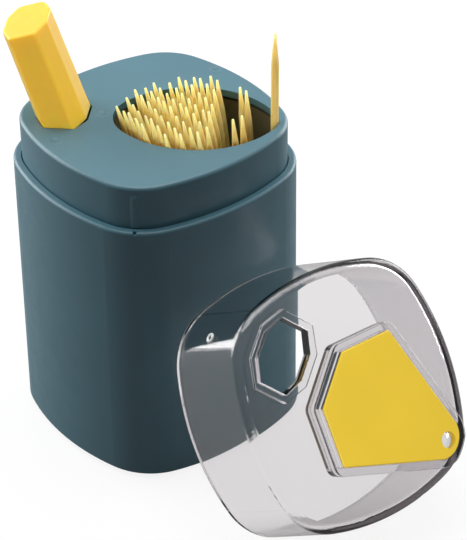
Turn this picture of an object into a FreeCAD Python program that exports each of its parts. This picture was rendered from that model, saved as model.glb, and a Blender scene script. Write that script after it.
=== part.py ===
import FreeCAD, Part
import math
import os

# Toothpick dispenser with its clear lid taken off and leant against the front.
# Millimetres. Origin on the table under the middle of the body, +Z up.
# The body's corners lie on the X and Y axes: the push knob stands at the -X corner,
# the toothpick that has been served stands at the +X corner.

os.makedirs("parts", exist_ok=True)
V = FreeCAD.Vector
UP = V(0, 0, 1)

# Body outline: a square with bulged sides and round corners, measured at the lip.
HALF_WIDTH = 35.0
SIDE_RADIUS = 68.4
CORNER_RADIUS = 18.2
FOOT_FLARE = 0.55

# Heights of the body.
PAD_PROUD = 1.1
LIP = 82.0
PLATE_TOP = 94.3

# Walls.
SHELL_WALL = 2.1
SHELL_LIP_ROUND = 0.9
SHELL_FOOT_BEVEL = 0.4
NECK_GAP = 0.3
NECK_WALL = 1.6
NECK_ROUND = 1.1
NECK_DEPTH = 6.0
SEAT_WIDTH = 2.2
SEAT_DEPTH = 2.0
PLATE = 2.0

# Soft rib on the neck's front corner and the small mark below it in the lip.
KEY_RADIUS = 2.3
KEY_PROUD = 0.3
KEY_TOP_DROP = 3.4
NOTCH_HALF = 0.5
NOTCH_DEPTH = 0.8

# Oval opening of the top plate, longer than wide, its narrow end at the serving corner.
OPENING_FROM_KNOB = 13.1
OPENING_FROM_CORNER = 4.8
OPENING_FROM_SIDE = 18.5
OPENING_LEFT_RADIUS = 12.1
OPENING_RIGHT_RADIUS = 7.8

# Toothpicks.
PICK_LENGTH = 65.0
PICK_RADIUS = 1.1
PICK_TAPER = 9.5
PICK_TIP_RADIUS = 0.22
PICK_FROM_CORNER = 5.9
PICK_SHOWN = 27.1
PICK_PITCH = 2.56
PICK_MARGIN = 0.3
PICK_SHAKE = 0.1
PICK_RISE = 1.4
PICK_FOOT_GAP = 0.3
DENSE_WIDTH = 14.5
LEFT_ROW = 6.0
MIDDLE_HALF = 4.5
CLEAR_WIDTH = 7.6
CLEAR_HALF = 3.4
PICK_SIDES = 6
SERVED_SIDES = 16
PICK_LIFT = 23.1

# Inner cup.
CUP_WALL = 1.4
CUP_RIM_DROP = 3.6
CUP_RIM_GROW = 1.5
CUP_LEAN = 17.0
CUP_FOOT_DRAW = 3.3
CUP_FOOT_RADIUS = 6.8
CUP_FLOOR = 33.6
CUP_FLOOR_SLOPE = 1.5
CUP_NOTCH_HALF = 8.5
CHANNEL_WALL = 0.9
CHANNEL_REACH = 1.6
CHANNEL_HEIGHT = 34.0
TAB_THICK = 1.4
TAB_DROP = 7.0
TAB_HALF = 2.8
BOSS_RADIUS = 2.6
BOSS_FROM_SIDE = 8.8
BOSS_ALONG = 8.5
KNOB_BOSS_FROM_SIDE = 7.4
KNOB_BOSS_ALONG = -6.1
DIMPLE_RADIUS = 4.0
DIMPLE_DEPTH = 0.4

# Push knob, an eight-sided drafted rod that leans outwards on its pin.
KNOB_FROM_CORNER = 14.9
KNOB_RADIAL = 6.6
KNOB_RADIAL_FLAT = 3.9
KNOB_ACROSS = 8.6
KNOB_ACROSS_FLAT = 3.5
KNOB_HEIGHT = 29.1
KNOB_DRAFT = 0.955
KNOB_TOP_SLOPE = 3.8
KNOB_LEAN = 17.0
KNOB_ROUND = 0.6
KNOB_EDGE_ROUND = 0.9
KNOB_BACK_ROUND = 2.2
KNOB_CORE = 22.0
KNUCKLE_RADIUS = 3.8
PIN_RADIUS = 1.5
PIN_BELOW_PLATE = 1.6

# Plunger under the knob.
TONGUE = 5.0
TONGUE_RADIUS = 4.4
PLUNGER_RADIAL = 4.5
PLUNGER_ACROSS = 6.5
PLUNGER_CORNER = 2.4
PLUNGER_FOOT_RADIUS = 2.0
COLLAR_HEIGHT = 11.0
SLEEVE_WALL = 1.4
SLEEVE_DEPTH = 25.0

# See-saw lever.
PIVOT_Z = 17.1
LEVER_RATIO = 2.0
ARM_TIP_HALF = 1.2
HUB_RADIUS = 4.6
HUB_HALF_WIDTH = 3.6
KNOB_END_RADIUS = 2.2
PICK_END_RADIUS = 1.75
EAR_THICK = 2.6

# Lifter rod.
LIFTER_RADIUS = 1.3
LIFTER_FOOT = 1.3
LIFTER_FOOT_REACH = 2.2
LIFTER_FOOT_HALF = 2.0

# Base plate, pad and screws.
BASE_THICK = 2.4
BASE_GAP = 0.25
PAD_FROM_SIDE = 13.0
PAD_RECESS = 0.5
POST_RADIUS = 3.3
POST_HEIGHT = 12.0
SCREW_SHANK = 1.15
SCREW_HEAD = 2.7
SCREW_HEAD_HEIGHT = 1.1
SCREW_LENGTH = 10.0
SMALL_SHANK = 0.95
SMALL_HEAD = 2.0
SMALL_HEAD_HEIGHT = 1.0
SMALL_LENGTH = 5.6

# Lid and its fan-shaped cover plate.
LID_HEIGHT = 28.2
LID_WALL = 1.8
LID_TOP = 2.4
LID_DRAFT = 1.13
LID_ROUND = 2.3
LID_INNER_ROUND = 1.1
LID_TILT = 55.8
LID_SPIN = -1.5
LID_ALONG = 4.2
LID_GAP = 0.8
COLLAR_WIDTH = 2.0
COLLAR_PROUD = 0.8
FAN_NEAR_FROM_KNOB = 15.6
FAN_NEAR_HALF = 8.1
FAN_WIDE_FROM_KNOB = 27.1
FAN_WIDE_FROM_SIDE = 15.4
FAN_FAR_FROM_CORNER = 6.5
FAN_FAR_HALF = 5.3
FAN_TIP_FROM_CORNER = 3.9
FAN_CORNER_ROUND = 0.7
FAN_EDGE_ROUND = 0.35
FAN_THICK = 2.0
FAN_PROUD = 1.2
FRAME_WIDTH = 2.2
FRAME_PROUD = 0.8
SKIRT_DEPTH = 2.6
EXIT_FROM_CORNER = 7.4
EXIT_RADIUS = 2.3

# Clearances between moving pieces.
RUN = 0.05
FIT = 0.02
SLACK = 0.3
KNOB_GAP = 0.15
ROCK_GAP = 0.15

# Body outline, worked out: where its arcs join and how far its corners reach.
back = SIDE_RADIUS - HALF_WIDTH
reach = SIDE_RADIUS - CORNER_RADIUS
inset = (math.sqrt(2 * reach ** 2 - back ** 2) - back) / 2
turn = math.atan2(inset, inset + back)
corner = inset * math.sqrt(2) + CORNER_RADIUS
knob_x = KNOB_FROM_CORNER - corner
pick_x = corner - PICK_FROM_CORNER


def arc(centre, radius, start, end):
    """Circular edge about centre from angle start to angle end, in radians."""
    points = []
    for angle in (start, (start + end) / 2, end):
        points.append(centre + V(radius * math.cos(angle), radius * math.sin(angle), 0))
    return Part.Arc(*points).toShape()


def outline(grow, z):
    """The body's bulged square at height z, grown by a parallel offset."""
    edges = []
    for quarter in range(4):
        face = math.radians(90 * quarter - 45)
        tip = face + math.pi / 4
        side_centre = V(-back * math.cos(face), -back * math.sin(face), z)
        edges.append(arc(side_centre, SIDE_RADIUS + grow, face - turn, face + turn))
        tip_centre = V(math.cos(tip), math.sin(tip), 0) * (inset * math.sqrt(2)) + UP * z
        edges.append(arc(tip_centre, CORNER_RADIUS + grow, face + turn, face + math.pi / 2 - turn))
    return Part.Wire(edges)


def prism(wire, height):
    return Part.Face(wire).extrude(UP * height)


def slab(grow, bottom, top):
    return prism(outline(grow, bottom), top - bottom)


def drafted(grow_bottom, bottom, grow_top, top):
    return Part.makeLoft([outline(grow_bottom, bottom), outline(grow_top, top)], True, True)


def egg(left, right, middle, half, left_radius, right_radius, z):
    """Oval of six arcs that meet smoothly: a nose at each end and two arcs on each side."""
    edges = []
    sides = []
    for nose, radius in ((right - right_radius, right_radius), (left + left_radius, left_radius)):
        run = abs(nose - middle)
        big = (run ** 2 + half ** 2 - radius ** 2) / (2 * (half - radius))
        sides.append((V(nose, 0, z), radius, big, math.atan2(big - half, run)))
    right_nose, right_r, right_big, right_turn = sides[0]
    left_nose, left_r, left_big, left_turn = sides[1]
    upper_right = V(middle, half - right_big, z)
    upper_left = V(middle, half - left_big, z)
    lower_left = V(middle, left_big - half, z)
    lower_right = V(middle, right_big - half, z)
    edges.append(arc(right_nose, right_r, -right_turn, right_turn))
    edges.append(arc(upper_right, right_big, right_turn, math.pi / 2))
    edges.append(arc(upper_left, left_big, math.pi / 2, math.pi - left_turn))
    edges.append(arc(left_nose, left_r, math.pi - left_turn, math.pi + left_turn))
    edges.append(arc(lower_left, left_big, math.pi + left_turn, 3 * math.pi / 2))
    edges.append(arc(lower_right, right_big, 3 * math.pi / 2, 2 * math.pi - right_turn))
    return Part.Wire(edges)


def octagon(radial, radial_flat, across, across_flat, x, z):
    """Eight-sided outline about (x, 0): flats of half length *_flat on all four sides."""
    quarter = [(radial, across_flat), (radial_flat, across)]
    points = []
    for sx, sy, order in ((1, 1, 1), (-1, 1, -1), (-1, -1, 1), (1, -1, -1)):
        for px, py in quarter[::order]:
            points.append(V(x + sx * px, sy * py, z))
    return Part.makePolygon(points + points[:1])


def knob_octagon(grow, scale, x, z, wider=0.0):
    """The knob's section, grown evenly, then scaled; wider stretches it along X only."""
    bevel = grow * 0.45
    return octagon(
        (KNOB_RADIAL + grow) * scale + wider,
        (KNOB_RADIAL_FLAT + bevel) * scale + wider,
        (KNOB_ACROSS + grow) * scale,
        (KNOB_ACROSS_FLAT + bevel) * scale,
        x,
        z,
    )


def box(x0, x1, y0, y1, z0, z1):
    return Part.makeBox(x1 - x0, y1 - y0, z1 - z0, V(x0, y0, z0))


def rod(radius, start, end):
    return Part.makeCylinder(radius, start.distanceToPoint(end), start, end - start)


def edges_at(shape, z):
    """Edges that lie flat at height z."""
    found = []
    for edge in shape.Edges:
        if abs(edge.BoundBox.ZMin - z) < 1e-3 and abs(edge.BoundBox.ZMax - z) < 1e-3:
            found.append(edge)
    return found


def export(shape, name):
    shape.exportStep("parts/" + name + ".step")


# Shared places worked out from the sizes above.
base_top = PAD_PROUD + BASE_THICK
seat = LIP - NECK_DEPTH
neck_out = -(SHELL_WALL + NECK_GAP)
neck_in = neck_out - NECK_WALL
plate_under = PLATE_TOP - PLATE
rim = PLATE_TOP - CUP_RIM_DROP
tab_top = PLATE_TOP - TAB_DROP
post_reach = HALF_WIDTH - SHELL_WALL - POST_RADIUS + 0.9
posts = []
for quarter in range(4):
    angle = math.radians(90 * quarter + 45)
    posts.append(V(post_reach * math.cos(angle), post_reach * math.sin(angle), 0))


def on_side(sx, sy, from_side, along):
    """A place inside the flat side of one quadrant, moved along it towards the Y corner."""
    middle = (HALF_WIDTH - from_side) / math.sqrt(2)
    shift = along / math.sqrt(2)
    return V(sx * (middle - shift), sy * (middle + shift), 0)


boss_places = []
for sy in (1, -1):
    boss_places.append(on_side(1, sy, BOSS_FROM_SIDE, BOSS_ALONG))
    boss_places.append(on_side(-1, sy, KNOB_BOSS_FROM_SIDE, KNOB_BOSS_ALONG))
dimples = [V(knob_x + KNOB_RADIAL + SLACK + BOSS_RADIUS + 0.5, 0, 0)]
dimples.append(on_side(1, 1, BOSS_FROM_SIDE - 3, BOSS_ALONG + 1))
dimples.append(on_side(-1, -1, KNOB_BOSS_FROM_SIDE, KNOB_BOSS_ALONG))

lean = math.radians(KNOB_LEAN)
pin_z = PLATE_TOP - PIN_BELOW_PLATE
lean_reach = KNOB_RADIAL / math.cos(lean) + PIN_BELOW_PLATE * math.tan(lean)
hole_wider = (lean_reach - KNOB_RADIAL) / 2
hole_x = knob_x - hole_wider
opening_left = knob_x + OPENING_FROM_KNOB
opening_right = corner - OPENING_FROM_CORNER
opening_middle = (opening_left + opening_right) / 2
opening_half = HALF_WIDTH - OPENING_FROM_SIDE
sleeve_bottom = plate_under - SLEEVE_DEPTH

pick_top = PLATE_TOP + PICK_SHOWN
pick_foot = pick_top - PICK_LENGTH
knob_arm = (pick_x - knob_x) / (1 + LEVER_RATIO)
pick_arm = knob_arm * LEVER_RATIO
pivot_x = knob_x + knob_arm
swing = math.asin(PICK_LIFT / 2 / pick_arm)
knob_stroke = PICK_LIFT / LEVER_RATIO
knob_end = V(pivot_x - knob_arm * math.cos(swing), 0, PIVOT_Z - knob_arm * math.sin(swing))
pick_end = V(pivot_x + pick_arm * math.cos(swing), 0, PIVOT_Z + pick_arm * math.sin(swing))
plunger_foot = knob_end.z + KNOB_END_RADIUS + PLUNGER_FOOT_RADIUS + ROCK_GAP
lifter_foot = pick_end.z + PICK_END_RADIUS + ROCK_GAP


cup_lean = math.tan(math.radians(CUP_LEAN))
cup_bottom = CUP_FLOOR - 6.0
rim_left = opening_left - CUP_RIM_GROW
rim_half = opening_half + CUP_RIM_GROW
rim_right = opening_right + 0.4
foot_half = opening_half - CUP_FOOT_DRAW
foot_left = rim_left + (rim - cup_bottom) * cup_lean
foot_middle = (foot_left + rim_right) / 2


def cup_body(grow):
    """Funnel between the foot oval and the rim oval, grown outwards by grow."""
    end = CUP_FOOT_RADIUS + grow
    half = foot_half + grow
    foot = egg(foot_left - grow, rim_right + grow, foot_middle, half, end, end, cup_bottom)
    left_end = OPENING_LEFT_RADIUS + CUP_RIM_GROW + grow
    right_end = OPENING_RIGHT_RADIUS + grow
    half = rim_half + grow
    mouth = egg(rim_left - grow, rim_right + grow, opening_middle, half, left_end, right_end, rim)
    return Part.makeLoft([foot, mouth], True, True)


def floor_height(x):
    return CUP_FLOOR + (pick_x - x) * math.tan(math.radians(CUP_FLOOR_SLOPE))


def below_floor(drop):
    """Everything under the sloping floor plane, lowered by drop."""
    block = box(-3 * corner, 3 * corner, -2 * corner, 2 * corner, -LIP, 0)
    block.rotate(V(0, 0, 0), V(0, 1, 0), CUP_FLOOR_SLOPE)
    block.translate(V(pick_x, 0, CUP_FLOOR - drop))
    return block


# Outer shell: one moulding, open below, with a rounded lip, a seat for the neck inside
# and four posts for the base screws.
skin = drafted(FOOT_FLARE, PAD_PROUD, 0, LIP)
skin = skin.makeFillet(SHELL_LIP_ROUND, edges_at(skin, LIP))
skin = skin.makeChamfer(SHELL_FOOT_BEVEL, edges_at(skin, PAD_PROUD))
hollow = drafted(FOOT_FLARE - SHELL_WALL, PAD_PROUD, -SHELL_WALL, LIP)
outer_shell = skin.cut(hollow)
ledge = slab(-SHELL_WALL / 2, seat - SEAT_DEPTH, seat)
ledge = ledge.cut(slab(-SHELL_WALL - SEAT_WIDTH, seat - SEAT_DEPTH, seat))
ledge = ledge.cut(cup_body(CUP_WALL + SLACK))
outer_shell = outer_shell.fuse(ledge)
for place in posts:
    post = rod(POST_RADIUS, place + UP * base_top, place + UP * (base_top + POST_HEIGHT))
    outer_shell = outer_shell.fuse(post.common(skin))
for place in posts:
    pilot = rod(SCREW_SHANK + FIT, place, place + UP * (base_top + POST_HEIGHT - 1.5))
    outer_shell = outer_shell.cut(pilot)
notch = box(-NOTCH_HALF, NOTCH_HALF, -corner - 1, -corner + SHELL_WALL / 2, LIP - NOTCH_DEPTH, LIP + 1)
outer_shell = outer_shell.cut(notch)
outer_shell = outer_shell.removeSplitter()
export(outer_shell, "outer_shell")


# Neck and top plate: a cap whose skirt stands on the shell's seat. It has the oval opening,
# the knob's hole with a sleeve below it, and bosses that the cup hangs from.
neck_top = slab(neck_out, seat, PLATE_TOP)
neck_top = neck_top.makeFillet(NECK_ROUND, edges_at(neck_top, PLATE_TOP))
neck_top = neck_top.cut(slab(neck_in, seat, plate_under))
key_y = -corner - neck_out + KEY_RADIUS - KEY_PROUD
key_top = PLATE_TOP - KEY_TOP_DROP
key = rod(KEY_RADIUS, V(0, key_y, LIP + SLACK), V(0, key_y, key_top))
key = key.fuse(Part.makeSphere(KEY_RADIUS, V(0, key_y, key_top)))
beside = slab(neck_out - NECK_WALL / 2, LIP, PLATE_TOP - NECK_ROUND)
neck_top = neck_top.fuse(key.cut(beside))
around = knob_octagon(KNOB_GAP + SLEEVE_WALL, 1, hole_x, sleeve_bottom, hole_wider)
neck_top = neck_top.fuse(prism(around, SLEEVE_DEPTH + PLATE / 2))
for place in boss_places:
    neck_top = neck_top.fuse(rod(BOSS_RADIUS, place + UP * tab_top, place + UP * (plate_under + PLATE / 2)))
bore = knob_octagon(KNOB_GAP, 1, hole_x, sleeve_bottom, hole_wider)
neck_top = neck_top.cut(prism(bore, PLATE_TOP - sleeve_bottom))
for place in boss_places:
    pilot = rod(SMALL_SHANK + FIT, place + UP * tab_top, place + UP * (PLATE_TOP - PLATE / 2))
    neck_top = neck_top.cut(pilot)
opening = egg(
    opening_left,
    opening_right,
    opening_middle,
    opening_half,
    OPENING_LEFT_RADIUS,
    OPENING_RIGHT_RADIUS,
    plate_under - 1,
)
neck_top = neck_top.cut(prism(opening, PLATE + 1))
for place in dimples:
    centre = place + UP * (PLATE_TOP + DIMPLE_RADIUS - DIMPLE_DEPTH)
    neck_top = neck_top.cut(Part.makeSphere(DIMPLE_RADIUS, centre))
neck_top = neck_top.removeSplitter()
export(neck_top, "neck_top")


# Inner cup: an oval funnel under the opening. Its left wall slopes so that the toothpicks
# slide to the right, where two ribs make a channel one toothpick wide.
toothpick_cup = cup_body(CUP_WALL).cut(below_floor(CUP_WALL))
toothpick_cup = toothpick_cup.cut(cup_body(0).cut(below_floor(0)))
outside = slab(0, seat - SLACK, rim + 1).cut(slab(neck_in - SLACK, seat - SLACK, rim + 1))
toothpick_cup = toothpick_cup.cut(outside)
channel_half = LIFTER_RADIUS + 0.2
for side in (1, -1):
    y0, y1 = sorted((side * channel_half, side * (channel_half + CHANNEL_WALL)))
    rib_top = CUP_FLOOR + CHANNEL_HEIGHT
    rib_bottom = CUP_FLOOR - CUP_WALL / 2
    rib = box(pick_x - CHANNEL_REACH, rim_right + CUP_WALL / 2, y0, y1, rib_bottom, rib_top)
    toothpick_cup = toothpick_cup.fuse(rib)
toothpick_cup = toothpick_cup.cut(
    box(pick_x - CHANNEL_REACH, corner, -CUP_NOTCH_HALF, CUP_NOTCH_HALF, seat - SLACK, rim + 1)
)
lifter_hole = rod(LIFTER_RADIUS + SLACK, V(pick_x, 0, CUP_FLOOR - 5), V(pick_x, 0, CUP_FLOOR + 2))
toothpick_cup = toothpick_cup.cut(lifter_hole)
tab_under = tab_top - TAB_THICK
for place in boss_places:
    tab = rod(TAB_HALF, place + UP * tab_under, place + UP * tab_top)
    if place.x > 0:
        y0, y1 = sorted((0, place.y))
        strap = box(place.x - TAB_HALF, place.x + TAB_HALF, y0, y1, tab_under, tab_top)
    else:
        strap = box(place.x, 0, place.y - TAB_HALF, place.y + TAB_HALF, tab_under, tab_top)
    tab = tab.fuse(strap).cut(cup_body(CUP_WALL / 2))
    toothpick_cup = toothpick_cup.fuse(tab)
for place in boss_places:
    through = rod(SMALL_SHANK + 0.25, place + UP * (tab_under - 1), place + UP * (tab_top + 1))
    toothpick_cup = toothpick_cup.cut(through)
toothpick_cup = toothpick_cup.removeSplitter()
export(toothpick_cup, "toothpick_cup")


# Small screws that hang the cup from the bosses.
def screw(shank, length, head, head_height, place, under_head):
    """Pan-head screw pointing up, the top face of its head against under_head."""
    start = place + UP * under_head
    body = rod(shank, start - UP * 0.1, start + UP * length)
    pan = rod(head, start - UP * head_height, start)
    pan = pan.makeChamfer(head_height * 0.4, edges_at(pan, under_head - head_height))
    return body.fuse(pan)


screws = []
for place in boss_places:
    screws.append(screw(SMALL_SHANK, SMALL_LENGTH, SMALL_HEAD, SMALL_HEAD_HEIGHT, place, tab_under))
export(Part.makeCompound(screws), "cup_screws")


# Push knob: a drafted eight-sided rod with soft edges, rounder at the back, and a knuckle below
# for the cross pin, cored out from below. It leans outwards when nothing holds it upright.
straight = PIN_BELOW_PLATE
knob_top = straight + KNOB_HEIGHT
spare = 2.0
taper = 1 - (1 - KNOB_DRAFT) * (KNOB_HEIGHT + spare) / KNOB_HEIGHT
wires = [knob_octagon(0, 1, 0, straight), knob_octagon(0, taper, 0, knob_top + spare)]
knob = Part.makeLoft(wires, True, True)
long_edges = [edge for edge in knob.Edges if edge.BoundBox.ZLength > KNOB_HEIGHT / 2]
front_edges = [edge for edge in long_edges if edge.CenterOfMass.y < 0]
back_edges = [edge for edge in long_edges if edge.CenterOfMass.y > 0]
knob = knob.makeFillet(KNOB_EDGE_ROUND, front_edges)
back_edges = []
for edge in knob.Edges:
    middle = edge.CenterOfMass
    if edge.BoundBox.ZLength > KNOB_HEIGHT / 2 and middle.y > KNOB_ACROSS_FLAT / 2:
        back_edges.append(edge)
knob = knob.makeFillet(KNOB_BACK_ROUND, back_edges)
above = box(-KNOB_ACROSS * 2, KNOB_ACROSS * 2, -KNOB_ACROSS * 2, KNOB_ACROSS * 2, 0, KNOB_ACROSS)
above.rotate(V(0, 0, 0), V(1, 0, 0), KNOB_TOP_SLOPE)
above.translate(V(0, 0, knob_top))
knob = knob.cut(above)
top_face = max(knob.Faces, key=lambda face: face.CenterOfMass.z)
knob = knob.makeFillet(KNOB_ROUND, top_face.Edges)
knob = knob.fuse(prism(knob_octagon(0, 1, 0, 0), straight))
cheek = KNOB_ACROSS - 0.9
knob = knob.fuse(rod(KNUCKLE_RADIUS, V(0, -cheek, 0), V(0, cheek, 0)))
slot_half = TONGUE / 2 + SLACK
slot_reach = TONGUE_RADIUS + 2 * SLACK
knob = knob.cut(box(-KNOB_RADIAL - 1, KNOB_RADIAL + 1, -slot_half, slot_half, -KNUCKLE_RADIUS - 1, 0))
knob = knob.cut(rod(slot_reach, V(0, -slot_half, 0), V(0, slot_half, 0)))
knob = knob.cut(box(-slot_reach * 0.8, slot_reach * 0.8, -slot_half, slot_half, 0, KNOB_CORE))
knob = knob.cut(rod(PIN_RADIUS + RUN, V(0, -KNOB_ACROSS - 1, 0), V(0, KNOB_ACROSS + 1, 0)))
knob = knob.removeSplitter()
knob.rotate(V(0, 0, 0), V(0, 1, 0), -KNOB_LEAN)
knob.translate(V(knob_x, 0, pin_z))
export(knob, "push_knob")

pin_half = cheek - 0.3
export(rod(PIN_RADIUS, V(knob_x, -pin_half, pin_z), V(knob_x, pin_half, pin_z)), "knob_pin")


# Plunger: an eight-sided bar with a tongue for the pin, a collar that runs in the sleeve
# and a round-nosed foot on the lever.
shoulder = pin_z - KNUCKLE_RADIUS - 2 * SLACK
bar_bottom = plunger_foot + 1.5
bar = octagon(PLUNGER_RADIAL, PLUNGER_CORNER, PLUNGER_ACROSS, PLUNGER_CORNER, knob_x, bar_bottom)
plunger = prism(bar, shoulder - bar_bottom)
blade = PLUNGER_ACROSS - 1.5
toe = PLUNGER_FOOT_RADIUS
plunger = plunger.fuse(box(knob_x - toe, knob_x + toe, -blade, blade, plunger_foot, bar_bottom))
plunger = plunger.fuse(rod(toe, V(knob_x, -blade, plunger_foot), V(knob_x, blade, plunger_foot)))
tongue = box(knob_x - TONGUE_RADIUS, knob_x + TONGUE_RADIUS, -TONGUE / 2, TONGUE / 2, shoulder - 1, pin_z)
tongue = tongue.fuse(rod(TONGUE_RADIUS, V(knob_x, -TONGUE / 2, pin_z), V(knob_x, TONGUE / 2, pin_z)))
plunger = plunger.fuse(tongue)
collar_top = plate_under - knob_stroke - SLACK
guide = knob_octagon(0, 1, hole_x, collar_top - COLLAR_HEIGHT, hole_wider)
plunger = plunger.fuse(prism(guide, COLLAR_HEIGHT))
plunger = plunger.cut(rod(PIN_RADIUS + FIT, V(knob_x, -TONGUE, pin_z), V(knob_x, TONGUE, pin_z)))
stop_top = sleeve_bottom - knob_stroke - SLACK
plunger = plunger.fuse(rod(PLUNGER_ACROSS + 2.0, V(knob_x, 0, stop_top - 2), V(knob_x, 0, stop_top)))
plunger = plunger.removeSplitter()
export(plunger, "plunger")


# See-saw lever: made level, then turned to the served pose with the toothpick end up.
def arm(length, hub, tip, half_width):
    """Tapered arm from the hub out to a round tip that stands proud of the arm."""
    flank = []
    thin = ARM_TIP_HALF
    for x, z in ((0, -hub), (length, -thin), (length, thin), (0, hub), (0, -hub)):
        flank.append(V(x, -half_width, z))
    body = Part.Face(Part.makePolygon(flank)).extrude(V(0, 2 * half_width, 0))
    return body.fuse(rod(tip, V(length, -half_width, 0), V(length, half_width, 0)))


lever = rod(HUB_RADIUS, V(0, -HUB_HALF_WIDTH, 0), V(0, HUB_HALF_WIDTH, 0))
lever = lever.fuse(arm(-knob_arm, HUB_RADIUS * 0.85, KNOB_END_RADIUS, HUB_HALF_WIDTH - SLACK))
lever = lever.fuse(arm(pick_arm, HUB_RADIUS * 0.85, PICK_END_RADIUS, LIFTER_FOOT_HALF - 0.2))
lever = lever.cut(rod(PIN_RADIUS + RUN, V(0, -9, 0), V(0, 9, 0)))
lever = lever.removeSplitter()
lever.rotate(V(0, 0, 0), V(0, 1, 0), -math.degrees(swing))
lever.translate(V(pivot_x, 0, PIVOT_Z))
export(lever, "rocker_lever")

ear_in = HUB_HALF_WIDTH + SLACK
ear_out = ear_in + EAR_THICK
clip = 0.9
pin_end = ear_out + clip + 0.8
export(rod(PIN_RADIUS, V(pivot_x, -pin_end, PIVOT_Z), V(pivot_x, pin_end, PIVOT_Z)), "pivot_pin")
clips = []
for side in (1, -1):
    start = V(pivot_x, side * ear_out, PIVOT_Z)
    end = V(pivot_x, side * (ear_out + clip), PIVOT_Z)
    clips.append(rod(PIN_RADIUS * 2, start, end).cut(rod(PIN_RADIUS + FIT, start, end)))
export(Part.makeCompound(clips), "pivot_clips")


# Lifter: a slim rod in the corner channel with a foot over the lever's tip.
lifter = rod(LIFTER_RADIUS, V(pick_x, 0, lifter_foot), V(pick_x, 0, pick_foot))
foot_left_x = pick_x - LIFTER_FOOT_REACH
foot_top = lifter_foot + LIFTER_FOOT
foot = box(foot_left_x, pick_x + LIFTER_RADIUS, -LIFTER_FOOT_HALF, LIFTER_FOOT_HALF, lifter_foot, foot_top)
lifter = lifter.fuse(foot).removeSplitter()
export(lifter, "lifter")


# Base plate: closes the shell, carries the lever between two ears and has a stop for it.
base_plate = slab(FOOT_FLARE - SHELL_WALL - BASE_GAP, PAD_PROUD, base_top)
for side in (1, -1):
    y0, y1 = sorted((side * ear_in, side * ear_out))
    ear_half = HUB_RADIUS + 1.5
    ear = box(pivot_x - ear_half, pivot_x + ear_half, y0, y1, base_top - 1, PIVOT_Z)
    ear = ear.fuse(rod(HUB_RADIUS, V(pivot_x, y0, PIVOT_Z), V(pivot_x, y1, PIVOT_Z)))
    base_plate = base_plate.fuse(ear)
pin_hole = rod(PIN_RADIUS + FIT, V(pivot_x, -ear_out - 1, PIVOT_Z), V(pivot_x, ear_out + 1, PIVOT_Z))
base_plate = base_plate.cut(pin_hole)
stop_z = knob_end.z - KNOB_END_RADIUS - 0.2
base_plate = base_plate.fuse(rod(3.4, V(knob_end.x, 0, base_top - 1), V(knob_end.x, 0, stop_z)))
base_plate = base_plate.cut(slab(-PAD_FROM_SIDE + 0.2, PAD_PROUD, PAD_PROUD + PAD_RECESS))
for place in posts:
    base_plate = base_plate.cut(rod(SCREW_SHANK + 0.25, place, place + UP * (base_top + 1)))
    recess = rod(SCREW_HEAD + SLACK, place, place + UP * (PAD_PROUD + SCREW_HEAD_HEIGHT))
    base_plate = base_plate.cut(recess)
base_plate = base_plate.removeSplitter()
export(base_plate, "base_plate")

head_seat = PAD_PROUD + SCREW_HEAD_HEIGHT
screws = []
for place in posts:
    screws.append(screw(SCREW_SHANK, SCREW_LENGTH, SCREW_HEAD, SCREW_HEAD_HEIGHT, place, head_seat))
export(Part.makeCompound(screws), "base_screws")

export(slab(-PAD_FROM_SIDE, 0, PAD_PROUD + PAD_RECESS), "base_pad")


# Lid, drawn closed with its rim at zero height, then laid against the front of the body.
fan_far = corner - FAN_FAR_FROM_CORNER
fan_tip = corner - FAN_TIP_FROM_CORNER
fan_near = knob_x + FAN_NEAR_FROM_KNOB
fan_wide = knob_x + FAN_WIDE_FROM_KNOB
fan_wide_half = HALF_WIDTH - FAN_WIDE_FROM_SIDE
exit_x = corner - EXIT_FROM_CORNER


def fan(grow, bottom, height):
    """Fan-shaped block with rounded corners, its round end at the exit hole."""
    corners = [
        V(fan_near, -FAN_NEAR_HALF, bottom),
        V(fan_wide, -fan_wide_half, bottom),
        V(fan_far, -FAN_FAR_HALF, bottom),
        V(fan_far, FAN_FAR_HALF, bottom),
        V(fan_wide, fan_wide_half, bottom),
        V(fan_near, FAN_NEAR_HALF, bottom),
    ]
    edges = [Part.makeLine(corners[0], corners[1]), Part.makeLine(corners[1], corners[2])]
    edges.append(Part.Arc(corners[2], V(fan_tip, 0, bottom), corners[3]).toShape())
    edges += [Part.makeLine(corners[3], corners[4]), Part.makeLine(corners[4], corners[5])]
    edges.append(Part.makeLine(corners[5], corners[0]))
    wire = Part.Wire(edges)
    if grow:
        wire = wire.makeOffset2D(grow, 2)
    block = prism(wire, height)
    upright = []
    for edge in block.Edges:
        if edge.BoundBox.ZLength > height / 2 and edge.CenterOfMass.x < fan_far - 2:
            upright.append(edge)
    return block.makeFillet(FAN_CORNER_ROUND + grow, upright)


def laid(shape):
    """Turn a closed lid piece over its rim and lean it on the front side of the body."""
    tilt = math.radians(LID_TILT)
    side_back = SIDE_RADIUS - HALF_WIDTH
    rim_reach = HALF_WIDTH
    centre_z = rim_reach * math.sin(tilt) + 0.02
    top_z = centre_z + rim_reach * math.sin(tilt)
    body_half = HALF_WIDTH + FOOT_FLARE * (LIP - top_z) / (LIP - PAD_PROUD)
    centre_x = body_half + LID_GAP + rim_reach * math.cos(tilt)
    turn_in = FreeCAD.Placement(V(0, 0, 0), FreeCAD.Rotation(UP, 45 + LID_SPIN))
    tip = FreeCAD.Placement(V(centre_x, LID_ALONG, centre_z), FreeCAD.Rotation(V(0, 1, 0), LID_TILT))
    turn_out = FreeCAD.Placement(V(0, 0, 0), FreeCAD.Rotation(UP, -45))
    placed = shape.copy()
    placed.Placement = turn_out.multiply(tip).multiply(turn_in)
    return placed


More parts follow.
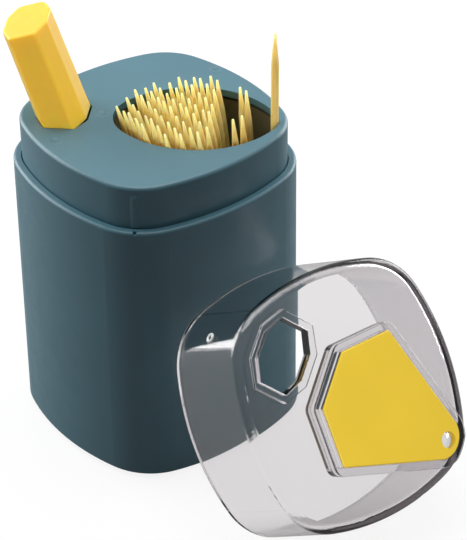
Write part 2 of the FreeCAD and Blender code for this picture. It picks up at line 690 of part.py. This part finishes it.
under = LID_HEIGHT - LID_TOP
lid = drafted(0, 0, -LID_DRAFT, LID_HEIGHT)
lid = lid.makeFillet(LID_ROUND, edges_at(lid, LID_HEIGHT))
cavity = drafted(-LID_WALL, 0, -LID_DRAFT - LID_WALL, under)
cavity = cavity.makeFillet(LID_INNER_ROUND, edges_at(cavity, under))
lid = lid.cut(cavity)
skirt = under - SKIRT_DEPTH
inside = slab(-LID_DRAFT - LID_WALL / 2, skirt, LID_HEIGHT + FRAME_PROUD)
frame = fan(FRAME_WIDTH, skirt, SKIRT_DEPTH + LID_TOP + FRAME_PROUD)
frame = frame.cut(fan(FIT * 5, skirt, SKIRT_DEPTH))
lid = lid.fuse(frame.common(inside))
hole_grow = SLACK + 0.1
collar = prism(knob_octagon(hole_grow + COLLAR_WIDTH, 1, knob_x, under), LID_TOP + COLLAR_PROUD)
lid = lid.fuse(collar.common(slab(-LID_DRAFT - LID_WALL / 2, under, LID_HEIGHT + COLLAR_PROUD)))
lid = lid.cut(prism(knob_octagon(hole_grow, 1, knob_x, under - 1), LID_TOP + 3))
fan_seat = LID_HEIGHT + FAN_PROUD - FAN_THICK
lid = lid.cut(fan(FIT * 5, fan_seat, FAN_THICK))
lid = lid.cut(rod(EXIT_RADIUS, V(exit_x, 0, skirt - 1), V(exit_x, 0, LID_HEIGHT + 2)))
lid = lid.removeSplitter()
export(laid(lid), "clear_lid")

cover = fan(0, fan_seat, FAN_THICK)
cover = cover.makeFillet(FAN_EDGE_ROUND, edges_at(cover, fan_seat + FAN_THICK))
cover = cover.cut(rod(EXIT_RADIUS, V(exit_x, 0, fan_seat - 1), V(exit_x, 0, fan_seat + FAN_THICK + 1)))
export(laid(cover), "lid_cover_plate")


# Toothpicks: pointed at both ends, in few faces where they stand packed together.
def ring(sides, radius, z):
    points = []
    for corner in range(sides + 1):
        turn = 2 * math.pi * corner / sides
        points.append(V(radius * math.cos(turn), radius * math.sin(turn), z))
    return Part.makePolygon(points)


def toothpick(foot_point, direction, sides):
    rings = []
    for radius, z in (
        (PICK_TIP_RADIUS, 0),
        (PICK_RADIUS, PICK_TAPER),
        (PICK_RADIUS, PICK_LENGTH - PICK_TAPER),
        (PICK_TIP_RADIUS, PICK_LENGTH),
    ):
        rings.append(ring(sides, radius, z))
    pick = Part.makeLoft(rings, True, True)
    pick.Placement = FreeCAD.Placement(foot_point, FreeCAD.Rotation(UP, direction))
    return pick


export(toothpick(V(pick_x, 0, pick_foot), UP, SERVED_SIDES), "raised_toothpick")

# The others stand on the cup's floor in staggered rows and fan out with its walls. They lie
# close on the left, thin out to the right and leave the space at the channel empty.
spread_x = (rim_right - rim_left) / (rim_right - foot_left)
spread_y = rim_half / foot_half
margin = PICK_RADIUS + PICK_MARGIN
end = CUP_FOOT_RADIUS - margin
half = foot_half - margin
floor_oval = Part.Face(egg(foot_left + margin, rim_right - margin, foot_middle, half, end, end, 0))
row_step = PICK_PITCH * math.sqrt(3) / 2
rows = math.ceil(half / row_step)
columns = math.ceil((rim_right - foot_left) / PICK_PITCH)
clear_left = pick_x - CLEAR_WIDTH
groups = {}
count = 0
for row in range(-rows, rows + 1):
    for column in range(columns):
        x = foot_left + margin + PICK_PITCH * (column + 0.5 * (row % 2))
        y = row_step * row
        if not floor_oval.isInside(V(x, y, 0), 0.01, True):
            continue
        if x > foot_left + DENSE_WIDTH and (column + row) % 2:
            continue
        if x > clear_left and abs(y) < CLEAR_HALF:
            continue
        count += 1
        x += PICK_SHAKE * math.sin(count * 2.4)
        y += PICK_SHAKE * math.cos(count * 3.7)
        top_x = rim_right + (x - rim_right) * spread_x
        direction = V(top_x - x, y * spread_y - y, rim - cup_bottom)
        rise = PICK_RISE * (0.5 + 0.5 * math.sin(count * 5.1)) ** 2
        foot_z = floor_height(x) + PICK_FOOT_GAP + rise
        pick = toothpick(V(x, y, foot_z), direction, PICK_SIDES)
        place = "middle"
        if y > MIDDLE_HALF:
            place = "back"
        elif y < -MIDDLE_HALF:
            place = "front"
        if x < foot_left + LEFT_ROW:
            place = "left"
        elif x > clear_left:
            place = "right_back" if y > 0 else "right_front"
        groups.setdefault(place, []).append(pick)
for place, picks in groups.items():
    export(Part.makeCompound(picks), "toothpicks_" + place)
    print("toothpicks", place, len(picks))
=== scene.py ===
import math

import bmesh
import bpy
from mathutils import Matrix, Vector


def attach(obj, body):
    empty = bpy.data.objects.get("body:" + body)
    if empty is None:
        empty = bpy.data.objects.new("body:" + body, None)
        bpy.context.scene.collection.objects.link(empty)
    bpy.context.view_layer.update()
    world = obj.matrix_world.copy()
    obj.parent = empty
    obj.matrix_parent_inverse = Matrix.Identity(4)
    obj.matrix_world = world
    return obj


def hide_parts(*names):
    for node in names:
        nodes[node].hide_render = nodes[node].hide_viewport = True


# Toothpick dispenser, its clear lid taken off and leant against the front of the body.
# The CAD pieces are in metres. Sizes in this file are in millimetres, and MM makes them metres.

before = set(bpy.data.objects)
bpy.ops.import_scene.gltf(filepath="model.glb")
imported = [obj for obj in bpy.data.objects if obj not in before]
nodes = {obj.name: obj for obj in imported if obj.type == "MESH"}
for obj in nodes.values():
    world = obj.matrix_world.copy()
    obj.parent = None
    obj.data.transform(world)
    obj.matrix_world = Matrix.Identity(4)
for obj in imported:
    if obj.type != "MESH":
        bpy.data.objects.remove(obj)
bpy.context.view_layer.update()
MM = 0.001


# Camera.
# A long lens looks down at the front corner of the body from about half a metre away.
# The picture is 467 pixels wide and 540 high, so the sensor is fitted to the height.
CAMERA_AT = Vector((73.3, -475.0, 377.7)) * MM
CAMERA_TURN = math.radians(6.23)
CAMERA_DOWN = math.radians(34.85)
CAMERA_ROLL = math.radians(-0.54)
SENSOR_HEIGHT = 36.0
LENS = 137.19

camera = bpy.data.objects.new("camera", bpy.data.cameras.new("camera"))
camera.data.sensor_fit = "VERTICAL"
camera.data.sensor_height = SENSOR_HEIGHT
camera.data.lens = LENS
heading = Matrix.Rotation(CAMERA_TURN, 4, "Z")
pitch = Matrix.Rotation(math.pi / 2 - CAMERA_DOWN, 4, "X")
roll = Matrix.Rotation(CAMERA_ROLL, 4, "Z")
camera.matrix_world = Matrix.Translation(CAMERA_AT) @ heading @ pitch @ roll
bpy.context.scene.collection.objects.link(camera)
bpy.context.scene.camera = camera
bpy.context.scene.view_settings.view_transform = "Standard"


# Outer shell.
# Injection-moulded in grey-teal ABS, open at the bottom, and screwed to the base plate.
# The mould was lightly blasted, so the surface is satin: broad soft reflections, no sharp ones.
ABS_IOR = 1.54
SHELL_COLOUR = "#466e7b"
SHELL_ROUGHNESS = 0.4
FLOW_PATCH = 26.0
FLOW_SPAN = (0.3, 0.7)
FLOW_TINT = (0.96, 1.04)
RUB_LENGTH = 5.0
RUB_SPAN = (0.35, 0.65)
RUB_POLISHED = -0.04
RUB_DULLED = 0.05
# Real blasting leaves a grain of about 0.15 mm. It is drawn coarser, as the picture can't hold it.
BLAST_GRAIN = 0.7
BLAST_DEPTH = 0.02
BLAST_STRENGTH = 0.25


def linear(code):
    """sRGB hex to the linear colour that a shader wants."""
    channels = []
    for start in (1, 3, 5):
        value = int(code[start:start + 2], 16) / 255
        channels.append(value / 12.92 if value <= 0.04045 else ((value + 0.055) / 1.055) ** 2.4)
    return (*channels, 1.0)


def per_metre(size):
    """Texture scale for a pattern whose features are size millimetres apart."""
    return 1000.0 / size


def add(tree, kind, settings, links=()):
    """Adds a node, sets its properties and sockets, and links sockets to outputs."""
    made = tree.nodes.new(kind)
    for name, value in settings.items():
        if isinstance(name, str) and hasattr(made, name):
            setattr(made, name, value)
        else:
            made.inputs[name].default_value = value
    for name, output in dict(links).items():
        tree.links.new(output, made.inputs[name])
    return made


def new_material(name):
    """Node material with no nodes yet, and its node tree."""
    material = bpy.data.materials.new(name)
    material.use_nodes = True
    material.node_tree.nodes.clear()
    return material, material.node_tree


def coordinates(tree):
    """The coordinates of the piece that wears the material."""
    return add(tree, "ShaderNodeTexCoord", {}).outputs["Object"]


def noise(tree, place, size, detail):
    """Noise pattern whose features are size millimetres apart."""
    settings = {"Scale": per_metre(size), "Detail": detail}
    return add(tree, "ShaderNodeTexNoise", settings, {"Vector": place}).outputs["Fac"]


def remap(tree, value, source, target):
    """A value that runs over the source span, stretched to the target span."""
    spans = {"From Min": source[0], "From Max": source[1], "To Min": target[0], "To Max": target[1]}
    return add(tree, "ShaderNodeMapRange", spans, {"Value": value}).outputs["Result"]


def relief(tree, height, strength, depth, links=()):
    """Bump as deep as depth millimetres."""
    settings = {"Strength": strength, "Distance": depth * MM}
    return add(tree, "ShaderNodeBump", settings, {"Height": height, **dict(links)}).outputs["Normal"]


def surface(tree, settings, links=()):
    """Gives the material its surface, and returns the material's output node."""
    shader = add(tree, "ShaderNodeBsdfPrincipled", settings, links)
    return add(tree, "ShaderNodeOutputMaterial", {}, {"Surface": shader.outputs["BSDF"]})


def moulded_plastic(name, colour, roughness, glow=0.0, reach=(1.0, 1.0, 1.0)):
    """Injection-moulded plastic: slow colour drift, blasted grain and a little wear in the gloss.
    glow is the share of light that goes in, and reach how many millimetres each colour travels."""
    material, tree = new_material(name)
    place = coordinates(tree)
    level = remap(tree, noise(tree, place, FLOW_PATCH, 2.0), FLOW_SPAN, FLOW_TINT)
    scaled = {"operation": "SCALE", 0: linear(colour)[:3]}
    tint = add(tree, "ShaderNodeVectorMath", scaled, {"Scale": level})
    worn = (roughness + RUB_POLISHED, roughness + RUB_DULLED)
    polish = remap(tree, noise(tree, place, RUB_LENGTH, 6.0), RUB_SPAN, worn)
    grain = relief(tree, noise(tree, place, BLAST_GRAIN, 3.0), BLAST_STRENGTH, BLAST_DEPTH)
    surface(
        tree,
        {"IOR": ABS_IOR, "Subsurface Weight": glow, "Subsurface Radius": reach, "Subsurface Scale": MM},
        {"Base Color": tint.outputs["Vector"], "Roughness": polish, "Normal": grain},
    )
    return material


def dress(names, material):
    """Gives CAD pieces their finish."""
    for name in names:
        node = nodes[name]
        if not node.material_slots:
            node.data.materials.append(material)
        for slot in node.material_slots:
            slot.material = material


teal_abs = moulded_plastic("satin teal ABS", SHELL_COLOUR, SHELL_ROUGHNESS)
dress(["outer_shell"], teal_abs)


# Neck and top plate.
# One moulding of the same teal ABS, dropped into the shell's mouth so that a step shows round
# it. Its plate has the oval opening and the knob's hole, and bosses and a sleeve underneath.
dress(["neck_top"], teal_abs)


# Inner cup.
# The cup that holds the toothpicks hangs from bosses under the top plate. It is moulded in a
# dark reground ABS, duller than the outside.
CUP_COLOUR = "#6b6650"
CUP_ROUGHNESS = 0.5
dark_abs = moulded_plastic("dark inner ABS", CUP_COLOUR, CUP_ROUGHNESS)
dress(["toothpick_cup"], dark_abs)


# Base plate.
# The floor of the body, with the lever's two ears, moulded in the same dark ABS as the cup.
# Four screws from below hold it to posts in the shell.
dress(["base_plate"], dark_abs)


# Toothpicks.
# Birch, turned round and pointed at both ends, unvarnished: straw yellow with fine darker grain
# along the stick. The points are paler: partly fresh ground wood, partly a painted highlight for the
# light they catch.
WOOD_IOR = 1.5
WOOD_ROUGHNESS = 0.75
PICK_SIDES = 14
POINT_PROFILE = ((0.0, 0.16), (0.1, 0.28), (0.35, 0.34), (4.0, 0.64), (8.9, 1.05), (10.4, 1.1))
FRESH_AND_LIT_REACH = 5.0
GRAIN_WIDTH = 0.35
GRAIN_RUN = 9.0
GRAIN_DEPTH = 0.05
GRAIN_STRENGTH = 0.3
STREAK_WIDTH = 2.5
STREAK_RUN = 83.3
TONE_SPAN = (0.75, 1.25)
STRAW_LIGHT = "#d6c986"
STRAW_DARK = "#c4a852"
# Paler straw at the points: fresh ground wood, and a painted highlight for the light they catch.
STRAW_POINT_FRESH_AND_LIT = "#efe2a6"
STRAW_REACH = (3.6, 2.3, 1.0)
SAME_POINT = 0.001


def stick_ends(node):
    """The two end points of each separate toothpick in a CAD piece, lowest first."""
    mesh = bmesh.new()
    mesh.from_mesh(node.data)
    bmesh.ops.remove_doubles(mesh, verts=mesh.verts, dist=SAME_POINT * MM)
    waiting = set(mesh.verts)
    ends = []
    while waiting:
        stick = {waiting.pop()}
        edge = list(stick)
        while edge:
            for link in edge.pop().link_edges:
                for vertex in link.verts:
                    if vertex in waiting:
                        waiting.remove(vertex)
                        stick.add(vertex)
                        edge.append(vertex)
        points = [vertex.co.copy() for vertex in stick]
        bottom = min(point.z for point in points)
        top = max(point.z for point in points)
        low = [point for point in points if point.z < bottom + MM / 2]
        high = [point for point in points if point.z > top - MM / 2]
        ends.append((sum(low, Vector()) / len(low), sum(high, Vector()) / len(high)))
    mesh.free()
    return sorted(ends, key=lambda pair: tuple(pair[0]))


def link_mesh(name, mesh):
    """Scene object with a smooth-shaded copy of a mesh, which is freed."""
    for face in mesh.faces:
        face.smooth = True
    data = bpy.data.meshes.new(name)
    mesh.to_mesh(data)
    mesh.free()
    piece = bpy.data.objects.new(name, data)
    bpy.context.scene.collection.objects.link(piece)
    return piece


def turned_sticks(name, ends):
    """One mesh of round, pointed sticks between pairs of end points."""
    mesh = bmesh.new()
    fresh_and_lit_points = mesh.verts.layers.float.new("fresh_and_lit_points")
    for low, high in ends:
        along = (high - low).normalized()
        side = along.orthogonal().normalized()
        other = along.cross(side)
        length = (high - low).length
        stations = [(distance * MM, radius * MM) for distance, radius in POINT_PROFILE]
        stations += [(length - distance, radius) for distance, radius in reversed(stations)]
        rings = []
        for distance, radius in stations:
            from_point = min(distance, length - distance)
            pale = max(0.0, 1.0 - from_point / (FRESH_AND_LIT_REACH * MM))
            ring = []
            for corner in range(PICK_SIDES):
                turn = 2 * math.pi * corner / PICK_SIDES
                spoke = side * math.cos(turn) + other * math.sin(turn)
                vertex = mesh.verts.new(low + along * distance + spoke * radius)
                vertex[fresh_and_lit_points] = pale
                ring.append(vertex)
            rings.append(ring)
        for lower, upper in zip(rings, rings[1:]):
            for corner in range(PICK_SIDES):
                after = (corner + 1) % PICK_SIDES
                mesh.faces.new((lower[corner], lower[after], upper[after], upper[corner]))
        mesh.faces.new(list(reversed(rings[0])))
        mesh.faces.new(rings[-1])
    return link_mesh(name, mesh)


def fibres(tree, place, width, run, detail):
    """Noise drawn out upwards, as the sticks stand: width across and run along, in millimetres."""
    stretch = (per_metre(width), per_metre(width), per_metre(run))
    scaled = add(tree, "ShaderNodeVectorMath", {"operation": "MULTIPLY", 1: stretch}, {0: place})
    settings = {"Scale": 1.0, "Detail": detail}
    links = {"Vector": scaled.outputs["Vector"]}
    return add(tree, "ShaderNodeTexNoise", settings, links).outputs["Fac"]


def turned_birch():
    material, tree = new_material("turned birch")
    place = coordinates(tree)
    grain = fibres(tree, place, GRAIN_WIDTH, GRAIN_RUN, 4.0)
    streak = fibres(tree, place, STREAK_WIDTH, STREAK_RUN, 1.0)
    both = add(tree, "ShaderNodeMath", {"operation": "ADD"}, {0: grain, 1: streak})
    tone = remap(tree, both.outputs["Value"], TONE_SPAN, (0.0, 1.0))
    straws = {"data_type": "RGBA", 6: linear(STRAW_DARK), 7: linear(STRAW_LIGHT)}
    straw = add(tree, "ShaderNodeMix", straws, {0: tone}).outputs[2]
    # Towards each point the straw turns paler: fresh ground wood, and a painted highlight.
    pale = add(tree, "ShaderNodeAttribute", {"attribute_name": "fresh_and_lit_points"}).outputs["Fac"]
    point_fresh_and_lit = {"data_type": "RGBA", 7: linear(STRAW_POINT_FRESH_AND_LIT)}
    pointed = add(tree, "ShaderNodeMix", point_fresh_and_lit, {0: pale, 6: straw}).outputs[2]
    surface(
        tree,
        {
            "IOR": WOOD_IOR,
            "Roughness": WOOD_ROUGHNESS,
            "Subsurface Weight": 1.0,
            "Subsurface Radius": STRAW_REACH,
            "Subsurface Scale": MM,
        },
        {"Base Color": pointed, "Normal": relief(tree, grain, GRAIN_STRENGTH, GRAIN_DEPTH)},
    )
    return material


birch = turned_birch()
stick_pieces = []
for name in sorted(nodes):
    if not name.startswith("toothpicks_") and name != "raised_toothpick":
        continue
    sticks = turned_sticks(name + ".turned", stick_ends(nodes[name]))
    sticks.data.materials.append(birch)
    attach(sticks, "served_toothpick" if name == "raised_toothpick" else "body")
    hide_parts(name)
    stick_pieces.append(sticks)


# Push knob.
# A thick-walled moulding in the same yellow ABS as the lid plate, pinned to the plunger. Its colour
# is more orange than the plate's: painted shade for its shaded sides. Light goes a few millimetres
# into it, so its edges glow a little.
# More orange than the lid plate's yellow: painted shade on the knob's sides.
KNOB_YELLOW_PAINTED_SHADE = "#e1b52d"
KNOB_REACH = (5.0, 3.0, 0.5)
KNOB_GLOW = 0.6
YELLOW_ROUGHNESS = 0.42
knob_abs = moulded_plastic("thick yellow ABS with painted shade", KNOB_YELLOW_PAINTED_SHADE, YELLOW_ROUGHNESS, KNOB_GLOW, KNOB_REACH)
dress(["push_knob"], knob_abs)


# Lid cover plate.
# A thin fan-shaped moulding in the same yellow ABS, pressed into a recess of the lid.
PLATE_YELLOW = "#debc2f"
dress(["lid_cover_plate"], moulded_plastic("thin yellow ABS", PLATE_YELLOW, YELLOW_ROUGHNESS))


# Clear lid.
# Injection-moulded clear polystyrene: its rounded edges act as lenses, and the polished mould
# gives it a sharp gloss with a faint ripple. Thicker parts look slightly smoky.
POLYSTYRENE_IOR = 1.57
CLEAR_TINT = "#f7f5f6"
CLEAR_ROUGHNESS = 0.02
RIPPLE = 14.0
RIPPLE_DEPTH = 0.05
RIPPLE_STRENGTH = 0.2
EDGE_ROUND = 0.35
SMOKE_PER_MM = 0.075
SMOKE = (0.06, 0.0, 0.03, 1.0)


def clear_polystyrene():
    """Clear plastic whose faint grey tint deepens with the distance that light travels in it."""
    material, tree = new_material("clear polystyrene")
    place = coordinates(tree)
    rounded = add(tree, "ShaderNodeBevel", {"samples": 4, "Radius": EDGE_ROUND * MM})
    edges = {"Normal": rounded.outputs["Normal"]}
    ripple = relief(tree, noise(tree, place, RIPPLE, 1.0), RIPPLE_STRENGTH, RIPPLE_DEPTH, edges)
    output = surface(
        tree,
        {
            "Base Color": linear(CLEAR_TINT),
            "IOR": POLYSTYRENE_IOR,
            "Roughness": CLEAR_ROUGHNESS,
            "Transmission Weight": 1.0,
        },
        {"Normal": ripple},
    )
    smoke = add(tree, "ShaderNodeVolumeAbsorption", {"Density": SMOKE_PER_MM / MM})
    smoke.inputs["Color"].default_value = SMOKE
    tree.links.new(smoke.outputs["Volume"], output.inputs["Volume"])
    return material


dress(["clear_lid"], clear_polystyrene())


# Gate mark.
# A small raised ring on the lid's side wall, left where the mould's gate was cut off. It is too
# shallow and too fine for the CAD. Its near-white, mostly opaque finish is a painted highlight.
GATE_AT = Vector((21.02, -52.53, 59.95)) * MM
GATE_OUTWARD = Vector((-0.762, -0.26, 0.593)).normalized()
GATE_RADIUS = 1.0
GATE_THICKNESS = 0.42
GATE_SIDES = 32
GATE_ROUNDS = 12
GATE_HIGHLIGHT_TINT = "#f2f4f5"
GATE_HIGHLIGHT_ROUGHNESS = 0.35
GATE_HIGHLIGHT_CLEARNESS = 0.3


def ring(name, at, outward, radius, thickness):
    """A round ring of the given radius and half thickness, in millimetres, lying on a surface."""
    mesh = bmesh.new()
    side = outward.orthogonal().normalized()
    other = outward.cross(side)
    loops = []
    for step in range(GATE_SIDES):
        turn = 2 * math.pi * step / GATE_SIDES
        spoke = side * math.cos(turn) + other * math.sin(turn)
        loop = []
        for corner in range(GATE_ROUNDS):
            lean = 2 * math.pi * corner / GATE_ROUNDS
            reach = radius + thickness * math.cos(lean)
            rise = thickness * math.sin(lean)
            loop.append(mesh.verts.new(at + (spoke * reach + outward * rise) * MM))
        loops.append(loop)
    for step in range(GATE_SIDES):
        loop = loops[step]
        beyond = loops[(step + 1) % GATE_SIDES]
        for corner in range(GATE_ROUNDS):
            after = (corner + 1) % GATE_ROUNDS
            mesh.faces.new((loop[corner], beyond[corner], beyond[after], loop[after]))
    bmesh.ops.recalc_face_normals(mesh, faces=mesh.faces)
    return link_mesh(name, mesh)


# Near-white finish that lets little light through: a painted highlight on the ring.
gate_highlight, tree = new_material("gate mark painted highlight")
surface(
    tree,
    {
        "Base Color": linear(GATE_HIGHLIGHT_TINT),
        "IOR": POLYSTYRENE_IOR,
        "Roughness": GATE_HIGHLIGHT_ROUGHNESS,
        "Transmission Weight": GATE_HIGHLIGHT_CLEARNESS,
    },
)
gate_mark = ring("gate_mark", GATE_AT, GATE_OUTWARD, GATE_RADIUS, GATE_THICKNESS)
gate_mark.data.materials.append(gate_highlight)
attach(gate_mark, "lid")


# Plunger, rocker lever and lifter.
# The moving pieces inside are moulded in natural acetal, which is waxy off-white and needs no
# grease where they slide on one another.
ACETAL = "#dedbd0"
ACETAL_ROUGHNESS = 0.35
ACETAL_GLOW = 0.2
acetal = moulded_plastic("natural acetal", ACETAL, ACETAL_ROUGHNESS, ACETAL_GLOW)
dress(["plunger", "rocker_lever", "lifter"], acetal)


# Pins, screws and clips.
# Zinc-plated steel, turned, rolled or stamped: a bright, slightly blue grey, dulled here and
# there by fine scratches.
ZINC = "#b9bcbd"
ZINC_SCRATCH = 0.6
ZINC_POLISH = (0.25, 0.45)


def zinc_plate():
    material, tree = new_material("zinc-plated steel")
    place = coordinates(tree)
    dull = remap(tree, noise(tree, place, ZINC_SCRATCH, 3.0), (0.0, 1.0), ZINC_POLISH)
    surface(tree, {"Base Color": linear(ZINC), "Metallic": 1.0}, {"Roughness": dull})
    return material


dress(["knob_pin", "pivot_pin", "pivot_clips", "cup_screws", "base_screws"], zinc_plate())


# Base pad.
# A die-cut sheet of black EVA foam stuck into the base plate's recess, so that the dispenser
# does not slide: dull, with fine closed cells.
EVA_COLOUR = "#26282a"
EVA_IOR = 1.5
EVA_ROUGHNESS = 0.85
# The real cells are about 0.2 mm across. They are drawn coarser, as the picture can't hold them.
EVA_CELL = 0.6
EVA_CELL_DEPTH = 0.1
EVA_STRENGTH = 0.5


def eva_foam():
    material, tree = new_material("black EVA foam")
    place = coordinates(tree)
    cells = add(tree, "ShaderNodeTexVoronoi", {"Scale": per_metre(EVA_CELL)}, {"Vector": place})
    pitted = relief(tree, cells.outputs["Distance"], EVA_STRENGTH, EVA_CELL_DEPTH)
    foam = {"Base Color": linear(EVA_COLOUR), "Roughness": EVA_ROUGHNESS, "IOR": EVA_IOR}
    surface(tree, foam, {"Normal": pitted})
    return material


dress(["base_pad"], eva_foam())


# Floor and room.
# A white sweep in a room that is bright behind the object and dark on the camera's side.
# The floor lies a hair under the pad, so that the two planes do not share one height.
FLOOR_SIZE = 6000.0
FLOOR_DROP = 0.05
FLOOR_GREY = "#5f5f5f"
FLOOR_LIFT = 0.87
FLOOR_GLOSS_SHARE = 0.3
BRIGHT_SIDE = (0.0, 0.8, 0.6)
BRIGHT_SPAN = (-0.4, 0.8)
DARK_LEVEL = 0.03
BRIGHT_LEVEL = 0.6
ROOM_GLOSS_SHARE = 0.25
WHITE = (1.0, 1.0, 1.0, 1.0)


def background_share(tree, gloss):
    """1 for rays that show the background itself, gloss for reflections of it, 0 for others."""
    path = add(tree, "ShaderNodeLightPath", {})
    direct = {0: path.outputs["Is Camera Ray"], 1: path.outputs["Is Transmission Ray"]}
    seen = add(tree, "ShaderNodeMath", {"operation": "MAXIMUM"}, direct)
    mirrored = {"operation": "MULTIPLY", 1: gloss}
    glossy = add(tree, "ShaderNodeMath", mirrored, {0: path.outputs["Is Glossy Ray"]})
    either = {0: seen.outputs["Value"], 1: glossy.outputs["Value"]}
    return add(tree, "ShaderNodeMath", {"operation": "MAXIMUM"}, either).outputs["Value"]


floor_mesh = bmesh.new()
bmesh.ops.create_grid(floor_mesh, x_segments=1, y_segments=1, size=FLOOR_SIZE / 2 * MM)
floor = link_mesh("floor", floor_mesh)
floor.location.z = -FLOOR_DROP * MM

floor_material, tree = new_material("white sweep")
paint = add(tree, "ShaderNodeBsdfDiffuse", {"Color": linear(FLOOR_GREY)})
share = background_share(tree, FLOOR_GLOSS_SHARE)
strength = add(tree, "ShaderNodeMath", {"operation": "MULTIPLY", 1: FLOOR_LIFT}, {0: share})
lift = add(tree, "ShaderNodeEmission", {}, {"Strength": strength.outputs["Value"]})
both = add(tree, "ShaderNodeAddShader", {}, {0: paint.outputs["BSDF"], 1: lift.outputs["Emission"]})
add(tree, "ShaderNodeOutputMaterial", {}, {"Surface": both.outputs["Shader"]})
floor.data.materials.append(floor_material)

world = bpy.data.worlds.new("studio")
bpy.context.scene.world = world
world.use_nodes = True
tree = world.node_tree
tree.nodes.clear()
toward = add(tree, "ShaderNodeTexCoord", {}).outputs["Generated"]
facing = add(tree, "ShaderNodeVectorMath", {"operation": "DOT_PRODUCT", 1: BRIGHT_SIDE}, {0: toward})
room = remap(tree, facing.outputs["Value"], BRIGHT_SPAN, (DARK_LEVEL, BRIGHT_LEVEL))
background = background_share(tree, ROOM_GLOSS_SHARE)
level = add(tree, "ShaderNodeMix", {"data_type": "FLOAT", 3: 1.0}, {0: background, 2: room})
sky = add(tree, "ShaderNodeBackground", {"Color": WHITE}, {"Strength": level.outputs[0]})
add(tree, "ShaderNodeOutputWorld", {}, {"Surface": sky.outputs["Background"]})


# Lamps.
# A large softbox overhead, one at the left and one behind at the right. A weak fill from the
# front is for the pale pieces only, as a photographer would flag it off the dark shell.
AIM = Vector((0, 0, 50)) * MM


def soft_lamp(name, at, size, watts):
    """Area lamp at a place in millimetres, turned to the middle of the body."""
    data = bpy.data.lights.new(name, "AREA")
    data.shape = "RECTANGLE"
    data.size = size[0] * MM
    data.size_y = size[1] * MM
    data.energy = watts
    lamp = bpy.data.objects.new(name, data)
    lamp.location = Vector(at) * MM
    lamp.rotation_euler = (AIM - lamp.location).to_track_quat("-Z", "Y").to_euler()
    bpy.context.scene.collection.objects.link(lamp)
    return lamp


soft_lamp("top softbox", at=(0, 80, 800), size=(560, 560), watts=3.6)
soft_lamp("left softbox", at=(-640, 240, 300), size=(600, 700), watts=7.2)
soft_lamp("right softbox", at=(470, 500, 240), size=(500, 600), watts=4.4)
fill = soft_lamp("front fill", at=(60, -650, 260), size=(300, 300), watts=3.2)
flagged = bpy.data.collections.new("lit by the fill")
for piece in [nodes["push_knob"], nodes["lid_cover_plate"], *stick_pieces]:
    flagged.objects.link(piece)
fill.light_linking.receiver_collection = flagged
